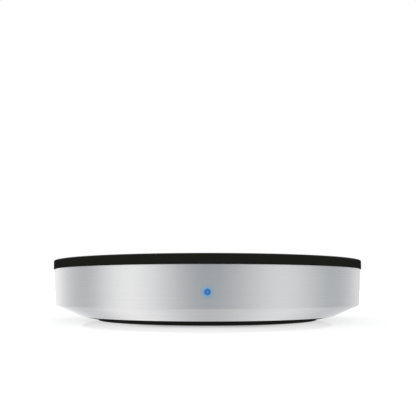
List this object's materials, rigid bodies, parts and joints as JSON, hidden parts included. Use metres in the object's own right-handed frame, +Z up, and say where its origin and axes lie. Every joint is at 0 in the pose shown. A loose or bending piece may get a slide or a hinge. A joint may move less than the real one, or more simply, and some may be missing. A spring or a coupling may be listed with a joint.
{
  "type": "streaming media player",
  "caption": "Flat round streaming media player: black lid over a tapered silver shell with a chamfered underside, blue status light in front and sockets set back under the lid at the rear.",
  "frame": {"origin": "centre of the foot ring's contact plane, on the disc's axis", "axes": "+Z up through the lid, -Y out of the front through the status light, +Y out of the rear panel, +X to the right seen from the front"},
  "size_m": [0.12, 0.12, 0.0228],
  "materials": {
    "black_gloss": "gloss",
    "black_satin": "satin",
    "silver_shell": "satin anodised",
    "foot_rubber": "matte",
    "lens_clear": "clear polycarbonate",
    "led_blue": "glowing",
    "label_film": "matte film",
    "steel_plated": "zinc plated",
    "steel_black": "black oxide",
    "spring_steel": "bright",
    "board_green": "solder mask",
    "board_blue": "solder mask",
    "chip_black": "moulded epoxy",
    "pad_grey": "soft pad",
    "sink_aluminium": "extruded",
    "nylon_white": "nylon",
    "ferrite": "ferrite",
    "can_aluminium": "bright",
    "ceramic_tan": "ceramic",
    "tin_plate": "tin plated",
    "gold_plate": "gold plated",
    "insulator_black": "moulded",
    "link_light": "moulded light guide",
    "cable_jacket": "jacket",
    "button_grey": "satin"
  },
  "bodies": {
    "housing": {"top_lid": "black_gloss", "side_shell": "silver_shell", "base_plate": "black_satin", "foot_ring": "foot_rubber", "rear_panel": "black_satin", "led_lens": "lens_clear", "rating_label": "label_film", "ballast_ring": "steel_plated", "case_screws": "steel_black", "board_screws": "steel_plated", "main_board": "board_green", "front_board": "board_green", "status_led": "led_blue", "ir_receiver": "insulator_black", "processor": "chip_black", "thermal_pad": "pad_grey", "heatsink": "sink_aluminium", "heatsink_pins": "nylon_white", "heatsink_springs": "spring_steel", "memory_chips": "chip_black", "flash_chip": "chip_black", "network_chip": "chip_black", "network_transformer": "chip_black", "regulator_chips": "chip_black", "power_inductors": "ferrite", "bulk_capacitors": "can_aluminium", "chip_capacitors": "ceramic_tan", "clock_crystal": "tin_plate", "wifi_board": "board_blue", "wifi_shield": "tin_plate", "antenna_plug": "gold_plate", "antenna_cable": "cable_jacket", "wifi_antenna": "board_green", "rj45_shield": "tin_plate", "rj45_housing": "insulator_black", "rj45_contacts": "gold_plate", "rj45_lights": "link_light", "hdmi_shell": "tin_plate", "hdmi_insulator": "insulator_black", "hdmi_contacts": "gold_plate", "usb_shell": "tin_plate", "usb_insulator": "insulator_black", "usb_contacts": "gold_plate", "dc_jack": "insulator_black", "dc_jack_pin": "tin_plate", "dc_jack_spring": "gold_plate", "tact_switch": "insulator_black"},
    "reset_button": {"reset_button": "button_grey", "switch_stem": "nylon_white"}
  },
  "joints": [
    {"name": "reset_press", "type": "slide", "parent": "housing", "child": "reset_button", "axis": [0, -1, 0], "range_m": [0, 0.0004], "stiffness_N_per_m": 2000, "springref_m": -0.0003}
  ]
}
